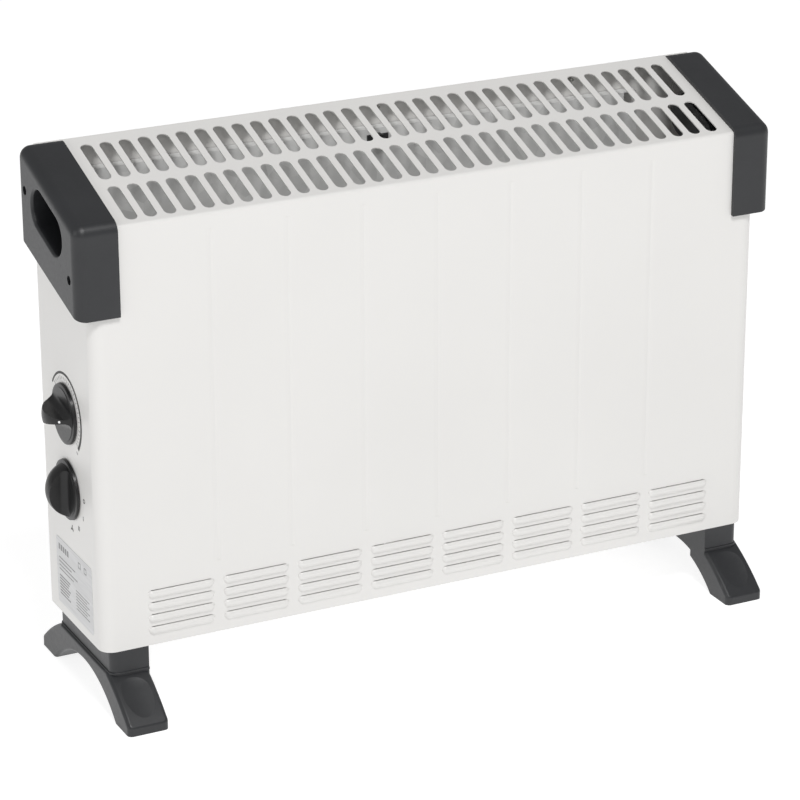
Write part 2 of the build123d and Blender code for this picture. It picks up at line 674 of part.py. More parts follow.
# ---------------------------------------------------------------- fan
def fan_screw_places():
    reach = (FAN_R + 7) * sqrt(0.5)
    return [(FAN_X + sx * reach, sy * reach) for sx in (-1, 1) for sy in (-1, 1)]


def make_fan_guard():
    """Finger guard over the fan's opening in the base."""
    level = (FLOOR_IN, FLOOR_IN + 1)
    at = (FAN_X, 0)
    guard = tube("z", at, FAN_R + 10, FAN_R - 1, level) + rod("z", at, 9, level)
    for radius in (16, 24, 32):
        guard += tube("z", at, radius + 1, radius - 1, level)
    for turn in (0, 45, 90, 135):
        spoke = Pos(FAN_X, 0, FLOOR_IN + 0.5) * Rot(0, 0, turn) * Box(2 * FAN_R, 2.4, 1)
        guard += spoke
    return guard - [rod("z", place, 1.7, (FLOOR_IN - 1, FLOOR_IN + 2)) for place in fan_screw_places()]


def make_fan_shroud():
    low = FLOOR_IN + 1
    at = (FAN_X, 0)
    shroud = tube("z", at, FAN_R + 4, FAN_R + 2, (low, low + 29))
    shroud += tube("z", at, FAN_R + 10, FAN_R + 2, (low, low + 1.6))
    return shroud - [rod("z", place, 1.7, (low - 1, low + 3)) for place in fan_screw_places()]


def fan_screw_set():
    return [screw("z", at, FLOOR_IN + 2.6, 2.8, 1.6, -4.5, 1.8) for at in fan_screw_places()]


def make_impeller():
    """Five pitched blades on a cup-shaped hub."""
    low = FLOOR_IN + 6
    at = (FAN_X, 0)
    wheel = rod("z", at, 12, (low, low + 17)) - rod("z", at, 10, (low - 1, low + 14))
    wheel += rod("z", at, 4, (low, low + 17))
    blade = Pos(24.5, 0, low + 9) * Rot(28, 0, 0) * Box(28, 22, 1.4)
    blade &= tube("z", (0, 0), FAN_R - 0.5, 11, (low - 5, low + 25))
    for index in range(5):
        wheel += Pos(FAN_X, 0, 0) * Rot(0, 0, index * 72) * blade
    return wheel - rod("z", at, 1.52, (low - 1, low + 20))




def make_motor_rotor():
    at = (FAN_X, 0)
    rotor = rod("z", at, 11, (STATOR_Z[0] + 0.5, STATOR_Z[1] - 0.5))
    return rotor + rod("z", at, 1.5, (FLOOR_IN + 7, MOTOR_TOP + 5))


def make_motor_stator():
    """Laminated frame round the rotor, with one leg for the winding."""
    frame = block((FAN_X - 26, FAN_X + 26), (-17, 33), STATOR_Z)
    frame -= block((FAN_X - 15, FAN_X + 15), (15.5, 25), (STATOR_Z[0] - 1, STATOR_Z[1] + 1))
    frame -= rod("z", (FAN_X, 0), 11.6, (STATOR_Z[0] - 1, STATOR_Z[1] + 1))
    frame -= [rod("z", (FAN_X + x, 0), 2.55, (STATOR_Z[0] - 1, STATOR_Z[1] + 1)) for x in MOTOR_POSTS]
    return frame


def make_motor_coil():
    """Winding on its bobbin, round the stator's outer leg."""
    low, high = STATOR_Z
    winding = block((FAN_X - 13, FAN_X + 13), (17, 41), (low - 8, high + 8))
    winding = fillet(winding.edges().filter_by(Axis.X), 4)
    return winding - block((FAN_X - 20, FAN_X + 20), (24.9, 33.1), (low - 0.1, high + 0.1))


def motor_bracket_set():
    """Bridges under and over the stator that hold the rotor's bearings."""
    lower = block((FAN_X - FAN_R - 4, FAN_X + FAN_R + 4), (-6, 6), (MOTOR_LOW, MOTOR_LOW + 2))
    upper = block((FAN_X - 25, FAN_X + 25), (-6, 6), (MOTOR_TOP, MOTOR_TOP + 2))
    lower += rod("z", (FAN_X, 0), 4.5, (MOTOR_LOW, MOTOR_LOW + 6))
    upper += rod("z", (FAN_X, 0), 4.5, (MOTOR_TOP - 4, MOTOR_TOP + 2))
    bore = rod("z", (FAN_X, 0), 1.55, (MOTOR_LOW - 1, MOTOR_TOP + 3))
    return [lower - bore, upper - bore]


def motor_post_set():
    """Rivets that clamp the two bridges and the stator together."""
    span = (MOTOR_LOW + 2, MOTOR_TOP)
    return [rod("z", (FAN_X + x, 0), 2.5, span) for x in MOTOR_POSTS]


# ---------------------------------------------------------------- wiring
def wire(points, bend):
    path = FilletPolyline(*points, radius=bend)
    start = Plane(origin=path @ 0, z_dir=path % 0)
    return sweep(start * Circle(1.2), path)


def wire_set():
    """Insulated leads between the terminal block and the selector's tabs."""
    tab_x = -243.5
    turn_x = tab_x + 9
    tab_y = KNOB_Y + 8
    block_z = FLOOR_IN + 13.5
    leads = []
    for index in range(3):
        x = -258 + index * 8
        y = -2 - index * 4
        z = SELECTOR_Z + (index - 1) * 9
        path = [
            (tab_x, tab_y, z),
            (turn_x, tab_y, z),
            (turn_x, y, z),
            (turn_x, y, block_z),
            (x, y, block_z),
            (x, 7.5, block_z),
        ]
        leads.append(wire(path, 3))
    return leads


# ---------------------------------------------------------------- assembly
THERMOSTAT_PLANE = pointer_plane(THERMOSTAT_Z, THERMOSTAT_POINTER)
SELECTOR_PLANE = pointer_plane(SELECTOR_Z, SELECTOR_POINTER)
left_handle = make_left_handle()
left_foot = make_left_foot()
left_bracket = make_left_bracket()

nodes = {
    "front_casing": make_front_casing(),
    "back_panel": make_back_panel(),
    "base_plate": make_base_plate(),
    "casing_screws": [screw("y", at, BACK_OUT, 3.5, 1.6, -8, 2.0) for at in back_screw_places()],
    "left_handle": left_handle,
    "right_handle": left_handle.mirror(Plane.YZ),
    "handle_screws": handle_screw_set(),
    "left_foot": left_foot,
    "right_foot": left_foot.mirror(Plane.YZ),
    "foot_screws": foot_screw_set(),
    "rating_plate": make_rating_plate(),
    "thermostat_knob": THERMOSTAT_PLANE * knob_form(),
    "thermostat_shaft": THERMOSTAT_PLANE * shaft_form(16),
    "thermostat_body": make_control_body(THERMOSTAT_Z, 18, 14, -258),
    "selector_knob": SELECTOR_PLANE * knob_form(),
    "selector_shaft": SELECTOR_PLANE * shaft_form(16),
    "selector_body": make_control_body(SELECTOR_Z, 18, 15, -252.5),
    "control_screws": control_screw_set(),
    "switch_tabs": switch_tab_set(-252.5),
    "cable_gland": make_cable_gland(),
    "gland_nut": make_gland_nut(),
    "terminal_block": make_terminal_block(),
    "terminal_screws": terminal_screw_set(),
    "rear_heat_shield": make_shield(1, (-REAR_SHIELD_END, SHIELD_HALF), SHIELD_TOP),
    "front_heat_shield": make_shield(-1, (-SHIELD_HALF, SHIELD_HALF), FRONT_TOP - 30),
    "left_bracket": left_bracket,
    "right_bracket": left_bracket.mirror(Plane.YZ),
    "element_rails": rail_set(),
    "element_supports": support_set(),
    "ceramic_bushings": bushing_set(),
    "heating_coils_low": coil_set(ELEMENT_ROWS[:1]),
    "heating_coils_high": coil_set(ELEMENT_ROWS[1:]),
    "terminal_pins": pin_set(),
    "terminal_insulators": pin_insulator_set(),
    "thermal_cutout": make_thermal_cutout(),
    "thermal_fuse": make_thermal_fuse(),
    "fan_guard": make_fan_guard(),
    "fan_shroud": make_fan_shroud(),
    "fan_screws": fan_screw_set(),
    "fan_impeller": make_impeller(),
    "motor_rotor": make_motor_rotor(),
    "motor_stator": make_motor_stator(),
    "motor_coil": make_motor_coil(),
    "motor_brackets": motor_bracket_set(),
    "motor_posts": motor_post_set(),
    "control_wires": wire_set(),
}

os.makedirs("parts", exist_ok=True)
for name, shape in nodes.items():
    pieces = shape if isinstance(shape, list) else [shape]
    solids = [solid for piece in pieces for solid in piece.solids()]
    placed = Compound(children=[Pos(CENTRE_X, 0, 0) * solid for solid in solids])
    export_step(placed, f"parts/{name}.step")
    print(name, len(solids))
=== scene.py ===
import json
from math import cos, pi, radians, sin

import bmesh
import bpy
from mathutils import Matrix, Vector


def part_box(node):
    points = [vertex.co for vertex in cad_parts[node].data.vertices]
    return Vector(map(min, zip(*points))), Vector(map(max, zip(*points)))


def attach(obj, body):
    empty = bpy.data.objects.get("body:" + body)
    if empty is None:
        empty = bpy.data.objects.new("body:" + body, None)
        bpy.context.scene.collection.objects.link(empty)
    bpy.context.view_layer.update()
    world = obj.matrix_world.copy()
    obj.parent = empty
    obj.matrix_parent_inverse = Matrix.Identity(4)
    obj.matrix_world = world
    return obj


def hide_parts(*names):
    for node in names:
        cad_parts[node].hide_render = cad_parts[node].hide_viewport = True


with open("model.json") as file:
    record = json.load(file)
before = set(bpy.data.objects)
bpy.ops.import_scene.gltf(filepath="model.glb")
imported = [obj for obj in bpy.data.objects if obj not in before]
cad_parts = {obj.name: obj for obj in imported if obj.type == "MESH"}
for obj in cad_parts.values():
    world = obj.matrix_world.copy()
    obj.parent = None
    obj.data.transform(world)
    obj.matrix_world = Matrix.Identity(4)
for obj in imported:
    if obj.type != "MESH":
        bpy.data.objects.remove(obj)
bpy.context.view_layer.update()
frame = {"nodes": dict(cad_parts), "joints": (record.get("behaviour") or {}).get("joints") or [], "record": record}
NODES = frame["nodes"]
MM = 0.001

# ---------------------------------------------------------------- places read from the frame
CASING_LOW, CASING_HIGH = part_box("front_casing")
MIDDLE_X = (CASING_LOW.x + CASING_HIGH.x) / 2
LEFT_X = CASING_LOW.x
JOINTS = {joint["name"]: joint for joint in frame["joints"]}
THERMOSTAT_AT = Vector(JOINTS["thermostat_turn"]["pos_m"])
SELECTOR_AT = Vector(JOINTS["selector_turn"]["pos_m"])


# ---------------------------------------------------------------- shader helpers
class Shader:
    """A Principled material with a few short calls for the procedural nodes it needs."""

    def __init__(self, name, colour, roughness, metallic=0.0):
        self.material = bpy.data.materials.new(name)
        self.material.use_nodes = True
        self.tree = self.material.node_tree
        self.surface = self.tree.nodes["Principled BSDF"]
        self.set("Base Color", (*colour, 1.0))
        self.set("Roughness", roughness)
        self.set("Metallic", metallic)
        self.place = self.tree.nodes.new("ShaderNodeTexCoord").outputs["Object"]

    def set(self, socket, value):
        self.surface.inputs[socket].default_value = value

    def link(self, output, node, socket):
        self.tree.links.new(output, node.inputs[socket])

    def stretch(self, scale):
        node = self.tree.nodes.new("ShaderNodeMapping")
        node.inputs["Scale"].default_value = scale
        self.link(self.place, node, "Vector")
        return node.outputs["Vector"]

    def noise(self, scale, detail=3.0, place=None):
        node = self.tree.nodes.new("ShaderNodeTexNoise")
        node.inputs["Scale"].default_value = scale
        node.inputs["Detail"].default_value = detail
        node.inputs["Roughness"].default_value = 0.55
        self.link(place or self.place, node, "Vector")
        return node.outputs["Fac"]

    def cells(self, scale):
        node = self.tree.nodes.new("ShaderNodeTexVoronoi")
        node.inputs["Scale"].default_value = scale
        self.link(self.place, node, "Vector")
        return node.outputs["Color"]

    def tint(self, value, low, high, start=0.3, end=0.7):
        """Colour between low and high, led by a value."""
        node = self.tree.nodes.new("ShaderNodeValToRGB")
        node.color_ramp.elements[0].position = start
        node.color_ramp.elements[0].color = (*low, 1.0)
        node.color_ramp.elements[1].position = end
        node.color_ramp.elements[1].color = (*high, 1.0)
        self.link(value, node, "Fac")
        self.link(node.outputs["Color"], self.surface, "Base Color")

    def rough(self, value, low, high):
        """Roughness between low and high, led by a value."""
        node = self.tree.nodes.new("ShaderNodeMapRange")
        node.inputs["To Min"].default_value = low
        node.inputs["To Max"].default_value = high
        self.link(value, node, "Value")
        self.link(node.outputs["Result"], self.surface, "Roughness")

    def bump(self, value, strength, distance, below=None):
        node = self.tree.nodes.new("ShaderNodeBump")
        node.inputs["Strength"].default_value = strength
        node.inputs["Distance"].default_value = distance
        self.link(value, node, "Height")
        if below is not None:
            self.link(below, node, "Normal")
        self.link(node.outputs["Normal"], self.surface, "Normal")
        return node.outputs["Normal"]


def shade(colour, factor):
    return tuple(min(1.0, channel * factor) for channel in colour)


# ---------------------------------------------------------------- materials
def white_paint():
    """Smooth powder coat: a faint orange peel and the slightest drift in tone and gloss."""
    colour = (0.79, 0.78, 0.762)
    paint = Shader("white_paint", colour, 0.36)
    paint.set("Coat Weight", 0.12)
    paint.set("Coat Roughness", 0.22)
    paint.tint(paint.noise(7.0, 4.0), shade(colour, 0.985), shade(colour, 1.01))
    paint.rough(paint.noise(40.0), 0.33, 0.42)
    waves = paint.bump(paint.noise(260.0, 2.0), 0.06, 0.0006)
    paint.bump(paint.noise(1400.0, 2.0), 0.05, 0.0002, waves)
    return paint.material


def grey_plastic():
    """Dark moulded plastic with a fine spark-eroded grain."""
    colour = (0.023, 0.024, 0.0265)
    plastic = Shader("grey_plastic", colour, 0.42)
    plastic.set("Specular IOR Level", 0.5)
    plastic.tint(plastic.noise(22.0, 5.0), shade(colour, 0.88), shade(colour, 1.12))
    plastic.rough(plastic.noise(320.0), 0.34, 0.48)
    grain = plastic.bump(plastic.noise(1900.0, 3.0), 0.22, 0.00025)
    plastic.bump(plastic.noise(90.0), 0.05, 0.0008, grain)
    return plastic.material


def black_gloss():
    """Polished black moulding with fine handling marks."""
    plastic = Shader("black_gloss", (0.01, 0.01, 0.0105), 0.35)
    plastic.set("Specular IOR Level", 0.35)
    plastic.set("Coat Weight", 0.1)
    plastic.set("Coat Roughness", 0.15)
    plastic.tint(plastic.noise(60.0, 4.0), (0.008, 0.008, 0.0085), (0.013, 0.013, 0.0135))
    plastic.rough(plastic.noise(500.0, 5.0), 0.3, 0.46)
    plastic.bump(plastic.noise(240.0), 0.05, 0.0004)
    return plastic.material


def black_moulding():
    plastic = Shader("black_moulding", (0.03, 0.03, 0.031), 0.5)
    plastic.tint(plastic.noise(90.0), (0.022, 0.022, 0.023), (0.04, 0.04, 0.042))
    plastic.rough(plastic.noise(400.0), 0.4, 0.6)
    plastic.bump(plastic.noise(1500.0), 0.2, 0.0002)
    return plastic.material


def label():
    """Brushed silver film of the blank rating plate."""
    colour = (0.66, 0.66, 0.665)
    film = Shader("label", colour, 0.4, 0.1)
    streaks = film.noise(500.0, 3.0, place=film.stretch((1.0, 0.05, 1.0)))
    film.tint(streaks, shade(colour, 0.92), shade(colour, 1.08))
    film.rough(streaks, 0.38, 0.52)
    film.bump(streaks, 0.08, 0.0002)
    return film.material


def plated_steel(name, colour, roughness):
    """Zinc plated or blackened steel with a cloudy, lightly scuffed surface."""
    steel = Shader(name, colour, roughness, 1.0)
    steel.tint(steel.noise(350.0, 4.0), shade(colour, 0.8), shade(colour, 1.15))
    steel.rough(steel.noise(900.0), roughness - 0.08, roughness + 0.12)
    steel.bump(steel.noise(1800.0), 0.15, 0.0002)
    return steel.material


def galvanised():
    """Zinc coated sheet with its frost-like spangle."""
    colour = (0.84, 0.84, 0.83)
    zinc = Shader("galvanised", colour, 0.5, 0.1)
    spangle = zinc.cells(70.0)
    zinc.tint(spangle, shade(colour, 0.9), shade(colour, 1.08), 0.1, 0.9)
    zinc.rough(spangle, 0.42, 0.58)
    zinc.bump(zinc.noise(600.0), 0.08, 0.0003)
    return zinc.material


def brass():
    colour = (0.62, 0.45, 0.2)
    metal = Shader("brass", colour, 0.3, 1.0)
    metal.tint(metal.noise(200.0), shade(colour, 0.8), shade(colour, 1.1))
    metal.rough(metal.noise(800.0), 0.24, 0.42)
    metal.bump(metal.noise(1500.0), 0.1, 0.0002)
    return metal.material


def nylon():
    colour = (0.66, 0.65, 0.6)
    plastic = Shader("nylon", colour, 0.42)
    plastic.set("Subsurface Weight", 0.08)
    plastic.tint(plastic.noise(80.0), shade(colour, 0.94), shade(colour, 1.03))
    plastic.rough(plastic.noise(300.0), 0.36, 0.5)
    plastic.bump(plastic.noise(1200.0), 0.1, 0.0002)
    return plastic.material


def mica():
    """Pressed mica board: layered flakes with a faint glint."""
    colour = (0.40, 0.34, 0.25)
    board = Shader("mica", colour, 0.35)
    flakes = board.cells(260.0)
    board.tint(flakes, shade(colour, 0.7), shade(colour, 1.25), 0.1, 0.9)
    board.rough(flakes, 0.22, 0.5)
    board.bump(board.noise(700.0), 0.2, 0.0003)
    return board.material


def ceramic():
    colour = (0.74, 0.71, 0.65)
    body = Shader("ceramic", colour, 0.55)
    body.tint(body.noise(300.0), shade(colour, 0.92), shade(colour, 1.04))
    body.rough(body.noise(700.0), 0.48, 0.66)
    body.bump(body.noise(1500.0), 0.2, 0.0002)
    return body.material


def resistance_wire():
    """Heat-tinted resistance wire."""
    wire = Shader("resistance_wire", (0.3, 0.27, 0.25), 0.45, 0.9)
    wire.tint(wire.noise(30.0), (0.2, 0.19, 0.2), (0.42, 0.36, 0.3))
    wire.rough(wire.noise(300.0), 0.35, 0.55)
    wire.bump(wire.noise(2500.0), 0.15, 0.0001)
    return wire.material


def laminations():
    """Stack of thin iron sheets, seen as fine lines across the stack."""
    iron = Shader("laminations", (0.16, 0.16, 0.17), 0.5, 0.8)
    sheets = iron.noise(2200.0, 1.0, place=iron.stretch((0.02, 0.02, 1.0)))
    iron.tint(sheets, (0.08, 0.08, 0.085), (0.26, 0.26, 0.27))
    iron.rough(sheets, 0.4, 0.6)
    iron.bump(sheets, 0.3, 0.0003)
    return iron.material


def winding():
    """Enamelled copper wire laid in close turns."""
    colour = (0.5, 0.2, 0.07)
    copper = Shader("winding", colour, 0.32, 0.9)
    turns = copper.noise(1600.0, 1.0, place=copper.stretch((1.0, 0.05, 0.05)))
    copper.tint(turns, shade(colour, 0.5), shade(colour, 1.2))
    copper.rough(turns, 0.28, 0.45)
    copper.bump(turns, 0.5, 0.0004)
    return copper.material


def wire_insulation():
    colour = (0.42, 0.03, 0.02)
    rubber = Shader("wire_insulation", colour, 0.4)
    rubber.tint(rubber.noise(60.0), shade(colour, 0.85), shade(colour, 1.1))
    rubber.rough(rubber.noise(400.0), 0.34, 0.5)
    rubber.bump(rubber.noise(900.0), 0.1, 0.0002)
    return rubber.material


def ink(name, colour):
    """Screen-printed ink with a slightly uneven film."""
    film = Shader(name, colour, 0.5)
    film.tint(film.noise(900.0), shade(colour, 0.9), shade(colour, 1.12))
    film.rough(film.noise(1200.0), 0.42, 0.6)
    film.bump(film.noise(2400.0), 0.1, 0.0001)
    return film.material


MATERIALS = {
    "white_paint": white_paint(),
    "grey_plastic": grey_plastic(),
    "black_gloss": black_gloss(),
    "black_moulding": black_moulding(),
    "label": label(),
    "zinc_screw": plated_steel("zinc_screw", (0.52, 0.52, 0.5), 0.34),
    "black_screw": plated_steel("black_screw", (0.05, 0.05, 0.052), 0.4),
    "galvanised": galvanised(),
    "brass": brass(),
    "nylon": nylon(),
    "mica": mica(),
    "ceramic": ceramic(),
    "resistance_wire": resistance_wire(),
    "laminations": laminations(),
    "winding": winding(),
    "wire_insulation": wire_insulation(),
}
BLACK_INK = ink("black_ink", (0.02, 0.02, 0.02))
GREY_INK = ink("grey_ink", (0.27, 0.27, 0.27))
WHITE_INK = ink("white_ink", (0.85, 0.85, 0.85))

for part in frame["record"]["subparts"]:
    slots = NODES[part["node"]].data.materials
    slots.clear()
    slots.append(MATERIALS[part["material_slot"]])


# ---------------------------------------------------------------- mesh helpers
def piece_from(name, mesh_data, body, material, instead_of=None):
    """New piece from a bmesh; rides on a body and can stand in for a CAD node."""
    bmesh.ops.recalc_face_normals(mesh_data, faces=mesh_data.faces)
    mesh = bpy.data.meshes.new(name)
    mesh_data.to_mesh(mesh)
    mesh_data.free()
    piece = bpy.data.objects.new(name, mesh)
    bpy.context.scene.collection.objects.link(piece)
    mesh.materials.append(material)
    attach(piece, body)
    if instead_of:
        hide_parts(instead_of)


def solids_of(node):
    """Low and high corner of each separate solid of a CAD node."""
    shape = bmesh.new()
    shape.from_mesh(NODES[node].data)
    bmesh.ops.remove_doubles(shape, verts=shape.verts, dist=0.001 * MM)
    place = NODES[node].matrix_world
    waiting = set(shape.verts)
    boxes = []
    while waiting:
        front = [waiting.pop()]
        found = []
        while front:
            vertex = front.pop()
            found.append(place @ vertex.co)
            for edge in vertex.link_edges:
                other = edge.other_vert(vertex)
                if other in waiting:
                    waiting.discard(other)
                    front.append(other)
        low = Vector([min(point[axis] for point in found) for axis in range(3)])
        high = Vector([max(point[axis] for point in found) for axis in range(3)])
        boxes.append((low, high))
    shape.free()
    return sorted(boxes, key=lambda box: tuple(box[0]))


def skin(mesh_data, rings):
    """Quads between each closed ring of vertices and the next."""
    count = len(rings[0])
    for near, far in zip(rings, rings[1:]):
        for index in range(count):
            after = (index + 1) % count
            mesh_data.faces.new((near[index], near[after], far[after], far[index]))


def loft(mesh_data, rings):
    """Closed solid through a list of rings of points."""
    made = [[mesh_data.verts.new(point) for point in ring] for ring in rings]
    skin(mesh_data, made)
    mesh_data.faces.new(made[0][::-1])
    mesh_data.faces.new(made[-1])


# ---------------------------------------------------------------- prints on the side panel
INK_UNDER = 0.05 * MM           # how far a print starts under the paint's surface
INK_OVER = 0.10 * MM


def side_point(centre, radius, angle, proud=0.0):
    """Point on the left side; 'angle' runs clockwise from straight up, seen from outside."""
    turn = radians(angle)
    return Vector((LEFT_X - proud, centre.y - radius * sin(turn), centre.z + radius * cos(turn)))


def ink_band(mesh_data, centre, start, end, radius, widths, steps):
    """Curved line on the side panel whose width runs from widths[0] to widths[1]."""
    rings = []
    for step in range(steps + 1):
        share = step / steps
        angle = start + (end - start) * share
        half = (widths[0] + (widths[1] - widths[0]) * share) / 2
        rings.append([
            side_point(centre, radius - half, angle, -INK_UNDER),
            side_point(centre, radius + half, angle, -INK_UNDER),
            side_point(centre, radius + half, angle, INK_OVER),
            side_point(centre, radius - half, angle, INK_OVER),
        ])
    loft(mesh_data, rings)


def ink_ring(mesh_data, centre, radius, width, steps):
    ink_band(mesh_data, centre, 0, 360, radius, (width, width), steps)


def ink_bar(mesh_data, middle, along, length, width):
    """Straight bar on the side panel with its middle at 'middle', turned by 'along' degrees."""
    turn = radians(along)
    run = Vector((0, -sin(turn), cos(turn))) * length / 2
    side = Vector((0, cos(turn), sin(turn))) * width / 2
    corners = [run + side, run - side, -run - side, -run + side]
    rings = []
    for proud in (-INK_UNDER, INK_OVER):
        centre = Vector((LEFT_X - proud, middle.y, middle.z))
        rings.append([centre + corner for corner in corners])
    loft(mesh_data, rings)


ARC_START = -58                 # degrees
ARC_END = 132
ARC_RADIUS = 31.1 * MM
ARC_WIDTHS = (1.6 * MM, 3.0 * MM)
ARC_STEPS = 96
TICK_COUNT = 25
TICK_START = -50                # degrees
TICK_PITCH = 7.5                # degrees
TICK_RADIUS = 27.3 * MM
TICK_WIDTH = 0.6 * MM
TICK_SHORT = 1.8 * MM
TICK_LONG = 3.0 * MM            # every fourth tick
END_MARK_ANGLE = 140
END_MARK_RADIUS = 32.0 * MM
END_MARK_SIZE = (2.6 * MM, 1.2 * MM)


def make_thermostat_print():
    """Swelling arc round the thermostat knob, with its ticks and an end mark."""
    arc = bmesh.new()
    ink_band(arc, THERMOSTAT_AT, ARC_START, ARC_END, ARC_RADIUS, ARC_WIDTHS, ARC_STEPS)
    piece_from("thermostat_arc", arc, "casing", BLACK_INK)
    ticks = bmesh.new()
    for index in range(TICK_COUNT):
        angle = TICK_START + index * TICK_PITCH
        length = TICK_LONG if index % 4 == 0 else TICK_SHORT
        ink_bar(ticks, side_point(THERMOSTAT_AT, TICK_RADIUS, angle), angle, length, TICK_WIDTH)
    end_mark = side_point(THERMOSTAT_AT, END_MARK_RADIUS, END_MARK_ANGLE)
    ink_bar(ticks, end_mark, END_MARK_ANGLE, *END_MARK_SIZE)
    piece_from("thermostat_ticks", ticks, "casing", GREY_INK)


MARK_RADIUS = 31.0 * MM
MARK_BAR = (3.6 * MM, 0.8 * MM)
OFF_ANGLE = 87
LOW_ANGLE = 116
HIGH_ANGLE = 145
FAN_ANGLE = 174
TWIN_SHIFT = 0.9 * MM           # from the middle of the two bars to each of them
BLADE_REACH = 1.7 * MM
BLADE_SKEW = 25                 # degrees
BLADE_SIZE = (2.2 * MM, 1.1 * MM)


def make_selector_print():
    """Off ring, one bar, two bars and a small three-bladed fan."""
    marks = bmesh.new()
    off = side_point(SELECTOR_AT, MARK_RADIUS, OFF_ANGLE)
    ink_ring(marks, off, 1.5 * MM, 0.7 * MM, 24)
    ink_bar(marks, side_point(SELECTOR_AT, MARK_RADIUS, LOW_ANGLE), 0, *MARK_BAR)
    for shift in (-TWIN_SHIFT, TWIN_SHIFT):
        place = side_point(SELECTOR_AT, MARK_RADIUS, HIGH_ANGLE) + Vector((0, shift, 0))
        ink_bar(marks, place, 0, *MARK_BAR)
    hub = side_point(SELECTOR_AT, MARK_RADIUS, FAN_ANGLE)
    for blade in (0, 120, 240):
        ink_bar(marks, side_point(hub, BLADE_REACH, blade), blade + BLADE_SKEW, *BLADE_SIZE)
    ink_ring(marks, hub, 0.7 * MM, 0.6 * MM, 12)
    piece_from("selector_marks", marks, "casing", BLACK_INK)


# ---------------------------------------------------------------- dots on the knobs
THERMOSTAT_POINTER = 88         # degrees, where each grip points at rest
SELECTOR_POINTER = 174
KNOB_DOME = 21.75 * MM          # radius of a knob's dome
DOT_REACH = 15.8 * MM           # from the knob's axis to the dot
DOT_CREST = 11.3 * MM           # from the side panel to the grip's crest under the dot
DOT_PROFILE = (                 # radius and lift, from its root to its top
    (0.95 * MM, -0.8 * MM),
    (0.95 * MM, 0.05 * MM),
    (0.75 * MM, 0.16 * MM),
    (0.4 * MM, 0.2 * MM),
)
DOT_STEPS = 20


def make_pointer_dot(name, centre, angle, body):
    """Small raised white dot on the crest of a knob's grip."""
    axis_foot = side_point(centre, 0, 0)
    outward = Vector((-1, 0, 0))
    pointing = side_point(centre, 1, angle) - axis_foot
    lean = DOT_REACH / KNOB_DOME
    normal = pointing * lean + outward * (1 - lean * lean) ** 0.5
    place = axis_foot + pointing * DOT_REACH + outward * DOT_CREST
    sideways = normal.cross(outward).normalized()
    upward = sideways.cross(normal)
    rings = []
    for radius, lift in DOT_PROFILE:
        ring = []
        for step in range(DOT_STEPS):
            turn = step * 2 * pi / DOT_STEPS
            spoke = sideways * cos(turn) + upward * sin(turn)
            ring.append(place + normal * lift + spoke * radius)
        rings.append(ring)
    dot = bmesh.new()
    loft(dot, rings)
    piece_from(name, dot, body, WHITE_INK)


# ---------------------------------------------------------------- rating label
LABEL_CORNER = 2.5 * MM
LABEL_CORNER_STEPS = 6
LABEL_INSET = 5 * MM            # from the label's edge to its print
LABEL_INK_OVER = 0.04 * MM

# The label's layout, in millimetres from the print's top left corner.
BOLD_COUNT = 5
BOLD_PITCH = 4.4
BOLD_SIZE = (3.0, 5.0)
FRAME_STARTS = (41, 53)
FRAME_SIZE = 5
FRAME_LINE = 0.8
HEADING_WIDTHS = (34, 26, 38, 30)
HEADING_TOP = 11
HEADING_PITCH = 3.2
HEADING_HEIGHT = 1.0
ROW_COUNT = 7
ROW_TOP = 26
ROW_PITCH = 2.5
RIGHT_COLUMN = 34


def make_rating_label():
    """Plain silver label with round corners, in place of the rating plate."""
    low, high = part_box("rating_plate")
    outline = []
    for y, z, start in (
        (high.y - LABEL_CORNER, high.z - LABEL_CORNER, 0),
        (low.y + LABEL_CORNER, high.z - LABEL_CORNER, 90),
        (low.y + LABEL_CORNER, low.z + LABEL_CORNER, 180),
        (high.y - LABEL_CORNER, low.z + LABEL_CORNER, 270),
    ):
        for step in range(LABEL_CORNER_STEPS + 1):
            turn = radians(start + step * 90 / LABEL_CORNER_STEPS)
            outline.append((y + LABEL_CORNER * cos(turn), z + LABEL_CORNER * sin(turn)))
    film = bmesh.new()
    loft(film, [[Vector((x, y, z)) for y, z in outline] for x in (high.x, low.x)])
    piece_from("rating_label", film, "casing", MATERIALS["label"], "rating_plate")
    make_label_print(Vector((low.x, high.y - LABEL_INSET, high.z - LABEL_INSET)))


def label_bar(mesh_data, corner, start, drop, width, height):
    """Printed box, 'start' from the print's left side and 'drop' under its top, in mm."""
    left = corner.y - start * MM
    right = left - width * MM
    top = corner.z - drop * MM
    floor = top - height * MM
    rings = []
    for x in (corner.x + INK_UNDER, corner.x - LABEL_INK_OVER):
        outline = ((left, top), (right, top), (right, floor), (left, floor))
        rings.append([Vector((x, y, z)) for y, z in outline])
    loft(mesh_data, rings)


def make_label_print(corner):
    """Blank print of the label: bold bars, two small square frames and rows of thin lines."""
    bars = bmesh.new()
    for index in range(BOLD_COUNT):
        label_bar(bars, corner, index * BOLD_PITCH, 0, *BOLD_SIZE)
    far_line = FRAME_SIZE - FRAME_LINE
    for start in FRAME_STARTS:
        label_bar(bars, corner, start, 0, FRAME_SIZE, FRAME_LINE)
        label_bar(bars, corner, start, far_line, FRAME_SIZE, FRAME_LINE)
        label_bar(bars, corner, start, 0, FRAME_LINE, FRAME_SIZE)
        label_bar(bars, corner, start + far_line, 0, FRAME_LINE, FRAME_SIZE)
    for row, width in enumerate(HEADING_WIDTHS):
        drop = HEADING_TOP + row * HEADING_PITCH
        label_bar(bars, corner, 0, drop, width, HEADING_HEIGHT)
    for row in range(ROW_COUNT):
        drop = ROW_TOP + row * ROW_PITCH
        label_bar(bars, corner, 0, drop, 22 - (row % 3) * 2, 1.2)
        label_bar(bars, corner, RIGHT_COLUMN, drop, 28 - (row % 2) * 5, 0.8)
    piece_from("label_bars", bars, "casing", GREY_INK)


